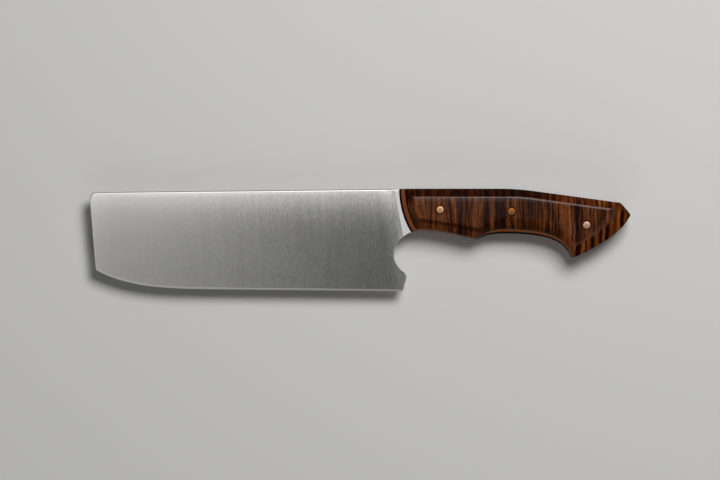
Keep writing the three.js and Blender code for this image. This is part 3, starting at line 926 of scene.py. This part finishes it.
# Curly hardwood, oiled and polished: soft dark bands stand square to the handle with finer stripes between,
# bolder on the facets than on the flat side. The wood is darker in a band along the front liner, and shade
# is painted round the pins. The facets carry painted light and shade by the way they face, with a painted
# dark line along the finger's lower arris, and a painted sheen lies on the rounded arrises at the rear and
# round the butt. The flat side has a gloss.
WOOD_TONES = [(0.0, "#200b05"), (0.25, "#3e2012"), (0.5, "#5a311a"), (0.75, "#754325"), (1.0, "#945d37")]
WOOD_ROUGHNESS = 0.45
WOOD_SPECULAR = 0.015
SWAYS = ((9, 0.9), (2.4, 0.2))  # size of a bend in the stripes, and how far it moves them
FLAT_FIGURE = (((7, 60, 30), 0.4), ((0.85, 24, 14), 1), ((0.32, 12, 7), 1.1))  # sizes of patterns, weights
BACK_FIGURE = (((1.5, 30, 30), 1.2), ((0.7, 20, 20), 0.6))
BUTT_FIGURE = (((1.6, 40, 40), 1), ((0.6, 20, 20), 0.5))
FLAT_SPREAD = (0.27, 0.29)  # how far below and above its middle a pattern covers the wood's tones
BACK_SPREAD = (0.27, 0.2)
BUTT_SPREAD = (0.85, 0.05)
FRONT_LIGHT = (-0.35, 0.25)  # how much lighter the front's facet is, at its upper end and below
FRONT_TURN = (-4, -10)  # mm from the spine
HEART_LIGHT = (0.1, -0.07)  # how much lighter the wood is along its front and along its rear
HEART_TURN = (35, 60)  # mm from the handle's front
BAND_EDGE = (0.25, 0.75)  # shares of a band's width between which it fades out
DARK_BANDS = (  # mm from the handle's front, width, darkness
    (10.4, 1, 0.2),
    (17.3, 1.2, 0.25),
    (28, 1.6, 0.4),
    (33.6, 2.4, 0.5),
    (36.5, 1.2, 0.35),
    (47.9, 2.5, 0.5),
    (53.5, 1.6, 0.45),
    (56.9, 2.4, 0.55),
    (62, 1.2, 0.3),
    (68, 1.2, 0.4),
    (71, 1, 0.25),
    (76.4, 1, 0.25),
    (81.2, 1.7, 0.45),
    (97.9, 1.6, 0.4),
)
BUTT_BANDS = (
    (98.2, 2.6, 0.95),
    (102.4, 1.2, 0.75),
    (106.3, 2.2, 0.95),
    (110.8, 1.7, 0.9),
    (114.1, 2, 0.95),
    (118.2, 2.2, 0.4),
    (122.4, 1.9, 0.9),
    (126.2, 2.2, 0.8),
)
PORE_SIZE = (5, 0.3, 0.5)
PORE_RANGE = (0.3, 0.55)
PORE_SHADE = (0.55, 1.05)
# Painted shade in a ring round each pin's hole: its reach and how dark
PIN_SHADE_REACH = (0.1, 1)  # mm from the pins' holes
PIN_PAINTED_SHADE = 0.15
FRONT_DARK_REACH = (3.6, 4.8)  # mm from the handle's front
FRONT_DARKNESS = 0.22
FACET_TILT = (0.98, 0.9)  # upright share of the surface's direction on the flat side and on a facet
UP_TILT = (0.15, 0.6)  # its share towards the spine, on the side and on the back
FRONT_TILT = (-0.15, -0.5)  # its share towards the butt, on the side and on the front
DOWN_TILT = (-0.8, 0.8)  # its share towards the spine, from the underside to the back
UPPER_TILT = 0.1  # its share towards the spine, where the painted sheen on the arris starts
# Painted light and shade on the facets by the way they face, with a painted dark line along the finger's
# lower arris
FLAT_TINT = "#fff8f0"
BACK_PAINTED_LIGHT = ("#8e6c40", "#ffd690")  # along the front of the back, and along its rear
BACK_TURN = (75, 95)  # mm from the handle's front
FINGER_PAINTED_LIGHT = [(0.06, "#ffe8c4"), (0.15, "#a4927e"), (0.3, "#a4927e"), (0.46, FLAT_TINT)]
GRIP_PAINTED_LIGHT = [(0.1, "#ffe2a8"), (0.4, "#ffe8c0"), (0.48, FLAT_TINT)]
GRIP_TURN = (44, 49)  # mm from the handle's front
BEAK_TURN = (92, 97)
# A painted pinkish sheen on the rounded arrises at the rear and round the butt, standing in for a soft
# reflection
PAINTED_SHEEN_TONE = "#bc907c"
PAINTED_SHEEN_TILTS = [(0.91, "#000000"), (0.955, "#4c4c4c"), (0.985, "#4c4c4c"), (1.0, "#000000")]
PAINTED_SHEEN_TURN = (60, 80)  # mm from the handle's front
GLOSS = (0.75, 0.4)  # of the flat side, along its front and along its rear
GLOSS_TURN = (50, 80)
GLOSS_DEPTHS = (0.3, 0.05)  # mm below the flat side
GLOSS_BELOW = 0.02
COAT_ROUGHNESS = 0.16

figured_wood, place = new_material("polished_curly_hardwood")
from_datum = add_node(figured_wood, "VectorMath", [place, datum / MM], operation="SUBTRACT")
swayed = from_datum
for size, reach in SWAYS:
    sway = add_node(figured_wood, "TexNoise", {"Vector": place, "Scale": 1 / size, "Detail": 1})
    offset = add_node(
        figured_wood,
        "VectorMath",
        [sway.outputs["Color"], [NOISE_MIDDLE] * 3],
        operation="SUBTRACT",
    )
    push = (2 * reach, 0, 0)
    swayed = add_node(figured_wood, "VectorMath", [offset, push, swayed], operation="MULTIPLY_ADD")
swayed_x = add_node(figured_wood, "SeparateXYZ", [swayed]).outputs["X"]


def figure_share(patterns, spread):
    """Stretched waves, added up: about 0 to 1 from the wood's darkest tone to its lightest."""
    total = 0.0
    for size, weight in patterns:
        stretched = add_node(figured_wood, "VectorMath", [swayed, size], operation="DIVIDE")
        waves = add_node(figured_wood, "TexNoise", {"Vector": stretched, "Scale": 1, "Detail": 2})
        total = add_node(figured_wood, "Math", [waves, weight, total], operation="MULTIPLY_ADD")
    middle = sum(weight for _, weight in patterns) * NOISE_MIDDLE
    ends = (middle - spread[0], middle + spread[1])
    return add_node(figured_wood, "MapRange", [total, *ends], clamp=False)


def banded(figure, bands):
    """A figure with soft dark bands square to the handle."""
    for middle, width, darkness in bands:
        aside = add_node(figured_wood, "Math", [swayed_x, middle], operation="SUBTRACT")
        away = add_node(figured_wood, "Math", [aside], operation="ABSOLUTE")
        ends = [share * width for share in BAND_EDGE]
        band = add_node(figured_wood, "MapRange", [away, *ends, darkness, 0])
        figure = add_node(figured_wood, "Math", [figure, band], operation="SUBTRACT")
    return figure


facing = add_node(figured_wood, "TexCoord").outputs["Normal"]
facing_x, facing_y, facing_z = add_node(figured_wood, "SeparateXYZ", [facing]).outputs
wood_x, wood_y, wood_z = add_node(figured_wood, "SeparateXYZ", [from_datum]).outputs
uprightness = add_node(figured_wood, "Math", [facing_z], operation="ABSOLUTE")
on_facet = add_node(figured_wood, "MapRange", [uprightness, *FACET_TILT])
behind_beak = add_node(figured_wood, "MapRange", [wood_x, *BEAK_TURN])
facing_up = add_node(figured_wood, "MapRange", [facing_y, *UP_TILT])
on_butt = add_node(figured_wood, "Math", [on_facet, behind_beak], operation="MULTIPLY")
flat_figure = figure_share(FLAT_FIGURE, FLAT_SPREAD)
butt_figure = banded(figure_share(BUTT_FIGURE, BUTT_SPREAD), BUTT_BANDS)
back_figure = figure_share(BACK_FIGURE, BACK_SPREAD)
side_figure = add_node(figured_wood, "Mix", {"Factor": on_butt, "A": flat_figure, "B": butt_figure})
figure = add_node(figured_wood, "Mix", {"Factor": facing_up, "A": side_figure, "B": back_figure})
front_light = add_node(figured_wood, "MapRange", [wood_y, *FRONT_TURN, *FRONT_LIGHT])
facing_front = add_node(figured_wood, "MapRange", [facing_x, *FRONT_TILT, 0, front_light])
heart_light = add_node(figured_wood, "MapRange", [wood_x, *HEART_TURN, *HEART_LIGHT])
for change in (facing_front, heart_light):
    figure = add_node(figured_wood, "Math", [figure, change], operation="ADD")
wood_tone = add_node(figured_wood, "ValToRGB", [banded(figure, DARK_BANDS)], stops=WOOD_TONES)

grain_place = add_node(figured_wood, "VectorMath", [place, PORE_SIZE], operation="DIVIDE")
grain = add_node(figured_wood, "TexNoise", {"Vector": grain_place, "Scale": 1, "Detail": 2})
darkening_and_painted_shade = add_node(figured_wood, "MapRange", [grain, *PORE_RANGE, *PORE_SHADE])
across = add_node(figured_wood, "VectorMath", [from_datum, (1, 1, 0)], operation="MULTIPLY")
pin_shade_ends = [HOLE_RADIUS + reach for reach in PIN_SHADE_REACH]
# Painted shade round the pins
for spot in PIN_PLACES.values():
    to_pin = add_node(figured_wood, "VectorMath", [across, (*spot, 0)], operation="DISTANCE")
    pin_painted_shade = add_node(figured_wood, "MapRange", [to_pin, *pin_shade_ends, PIN_PAINTED_SHADE, 1])
    darkening_and_painted_shade = add_node(figured_wood, "Math", [darkening_and_painted_shade, pin_painted_shade], operation="MULTIPLY")
from_front = add_node(figured_wood, "VectorMath", [across, (FRONT_RADIUS, 0, 0)], operation="SUBTRACT")
front_half = add_node(figured_wood, "VectorMath", [from_front, (0, FRONT_RADIUS, 0)], operation="MINIMUM")
front_reach = add_node(figured_wood, "VectorMath", [front_half], operation="LENGTH")
front_depth = add_node(figured_wood, "Math", [FRONT_RADIUS, front_reach], operation="SUBTRACT")
front_darkening = add_node(figured_wood, "MapRange", [front_depth, *FRONT_DARK_REACH, FRONT_DARKNESS, 1])
darkening_and_painted_shade = add_node(figured_wood, "Math", [darkening_and_painted_shade, front_darkening], operation="MULTIPLY")
darkened_and_painted_shade_tone = add_node(figured_wood, "VectorMath", {0: wood_tone, "Scale": darkening_and_painted_shade}, operation="SCALE")

# Painted light and shade on the facets, by the way they face
facing_down = add_node(figured_wood, "MapRange", [facing_y, *DOWN_TILT])
finger_painted_light = add_node(figured_wood, "ValToRGB", [facing_down], stops=FINGER_PAINTED_LIGHT)
grip_painted_light = add_node(figured_wood, "ValToRGB", [facing_down], stops=GRIP_PAINTED_LIGHT)
past_guard = add_node(figured_wood, "MapRange", [wood_x, *GRIP_TURN])
lower_painted_light = add_node(
    figured_wood,
    "Mix",
    {"Factor": past_guard, "A": finger_painted_light, "B": grip_painted_light},
    data_type="RGBA",
)
towards_rear = add_node(figured_wood, "MapRange", [wood_x, *BACK_TURN])
back_painted_light = add_node(
    figured_wood,
    "Mix",
    {"Factor": towards_rear, "A": linear(BACK_PAINTED_LIGHT[0]), "B": linear(BACK_PAINTED_LIGHT[1])},
    data_type="RGBA",
)
facet_painted_light = add_node(
    figured_wood,
    "Mix",
    {"Factor": facing_up, "A": lower_painted_light, "B": back_painted_light},
    data_type="RGBA",
)
painted_facet_tone = add_node(figured_wood, "VectorMath", [darkened_and_painted_shade_tone, facet_painted_light], operation="MULTIPLY")
# Painted sheen on the rounded arrises at the rear and round the butt
arris_sheen = add_node(figured_wood, "ValToRGB", [uprightness], stops=PAINTED_SHEEN_TILTS)
sheen_on_upper_side = add_node(figured_wood, "MapRange", [facing_y, 0, UPPER_TILT])
sheen_side = add_node(figured_wood, "Math", [sheen_on_upper_side, behind_beak], operation="MAXIMUM")
sheen_rear = add_node(figured_wood, "MapRange", [wood_x, *PAINTED_SHEEN_TURN, 0, sheen_side])
painted_sheen_share = add_node(figured_wood, "Math", [arris_sheen, sheen_rear], operation="MULTIPLY")
painted_sheen_tone = add_node(
    figured_wood,
    "Mix",
    {"Factor": painted_sheen_share, "A": painted_facet_tone, "B": linear(PAINTED_SHEEN_TONE)},
    data_type="RGBA",
)
side_height = add_node(figured_wood, "Math", [wood_z], operation="ABSOLUTE")
flat_gloss = add_node(figured_wood, "MapRange", [wood_x, *GLOSS_TURN, *GLOSS])
gloss_ends = [WOOD_FACE - depth for depth in GLOSS_DEPTHS]
polish = add_node(figured_wood, "MapRange", [side_height, *gloss_ends, GLOSS_BELOW, flat_gloss])
shader = add_node(
    figured_wood,
    "BsdfPrincipled",
    {
        "Base Color": painted_sheen_tone,
        "Roughness": WOOD_ROUGHNESS,
        "Specular IOR Level": WOOD_SPECULAR,
        "Coat Weight": polish,
        "Coat Roughness": COAT_ROUGHNESS,
    },
)
add_node(figured_wood, "OutputMaterial", [shader])
pair(scale, figured_wood, "scale")

# Pins: solid copper rod through all the layers, peened to a slight dome at each end. They are rubbed down
# with the wood, which leaves them dull, with a faint ring from the punch.
PIN_BEVEL = 0.15
BEVEL_STEPS = 3
PIN_DOME = 0.16
DOME_RINGS = (1.4, 0.95, 0.75, 0.35)
PIN_SMOOTH_ANGLE = 40
PIN_ROUGHNESS = 0.55
PIN_RUB_SIZE = 0.5
PUNCH_RADIUS = 0.65
PUNCH_WIDTH = 0.4
PUNCH_SHADE = 0.5
COPPER_TONES = {
    "front": ("#b47a59", "#c99f7f"),
    "middle": ("#864f26", "#98633a"),
    "rear": ("#b8856e", "#cca898"),
}


def rubbed_copper(name, spot):
    """Copper rubbed with fine paper: dull, with small marks and a ring where the rod was peened."""
    material, place = new_material(f"rubbed_copper_{name}")
    rub_marks = add_node(material, "TexNoise", {"Vector": place, "Scale": 1 / PIN_RUB_SIZE, "Detail": 3})
    dull, bright = COPPER_TONES[name]
    rubbed_tone = add_node(
        material,
        "Mix",
        {"Factor": rub_marks, "A": linear(dull), "B": linear(bright)},
        data_type="RGBA",
    )
    axis = Vector((*spot, 0)) + datum / MM
    across = add_node(material, "VectorMath", [place, (1, 1, 0)], operation="MULTIPLY")
    from_axis = add_node(material, "VectorMath", [across, (axis.x, axis.y, 0)], operation="DISTANCE")
    aside = add_node(material, "Math", [from_axis, PUNCH_RADIUS], operation="SUBTRACT")
    away = add_node(material, "Math", [aside], operation="ABSOLUTE")
    mark = add_node(material, "MapRange", [away, 0, PUNCH_WIDTH, PUNCH_SHADE, 1])
    marked_tone = add_node(material, "VectorMath", {0: rubbed_tone, "Scale": mark}, operation="SCALE")
    shader = add_node(
        material,
        "BsdfPrincipled",
        {"Base Color": marked_tone, "Metallic": 1, "Roughness": PIN_ROUGHNESS},
    )
    add_node(material, "OutputMaterial", [shader])
    return material


for name, spot in PIN_PLACES.items():
    bpy.ops.object.select_all(action="DESELECT")
    bpy.ops.mesh.primitive_cylinder_add(
        vertices=PIN_SIDES,
        radius=PIN_RADIUS * MM,
        depth=2 * (WOOD_FACE - PIN_DOME) * MM,
        location=(0, 0, 0),
    )
    pin = bpy.context.object
    pin.name = f"copper_pin_{name}"
    apply_modifier(pin, "BEVEL", width=PIN_BEVEL * MM, segments=BEVEL_STEPS, limit_method="ANGLE")
    bpy.ops.object.mode_set(mode="EDIT")
    bpy.ops.mesh.select_mode(type="FACE")
    bpy.ops.mesh.select_all(action="DESELECT")
    bpy.ops.object.mode_set(mode="OBJECT")
    for polygon in pin.data.polygons:
        polygon.select = len(polygon.vertices) == PIN_SIDES
    bpy.ops.object.mode_set(mode="EDIT")
    reach = PIN_RADIUS - PIN_BEVEL
    for ring in DOME_RINGS:
        bpy.ops.mesh.inset(thickness=(reach - ring) * MM)
        reach = ring
    bpy.ops.object.mode_set(mode="OBJECT")
    for vertex in pin.data.vertices:
        reach = math.hypot(vertex.co.x, vertex.co.y) / MM
        rise = PIN_DOME * (1 - (reach / PIN_RADIUS) ** 2)
        vertex.co.z += math.copysign(rise * MM, vertex.co.z)
    pin.location = Vector((*spot, 0)) * MM
    bpy.ops.object.transform_apply(location=True)
    seat(pin)
    bpy.ops.object.shade_smooth_by_angle(angle=math.radians(PIN_SMOOTH_ANGLE))
    pin.data.materials.append(rubbed_copper(name, spot))
    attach(pin, "root")
    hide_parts(f"{name}_pin")
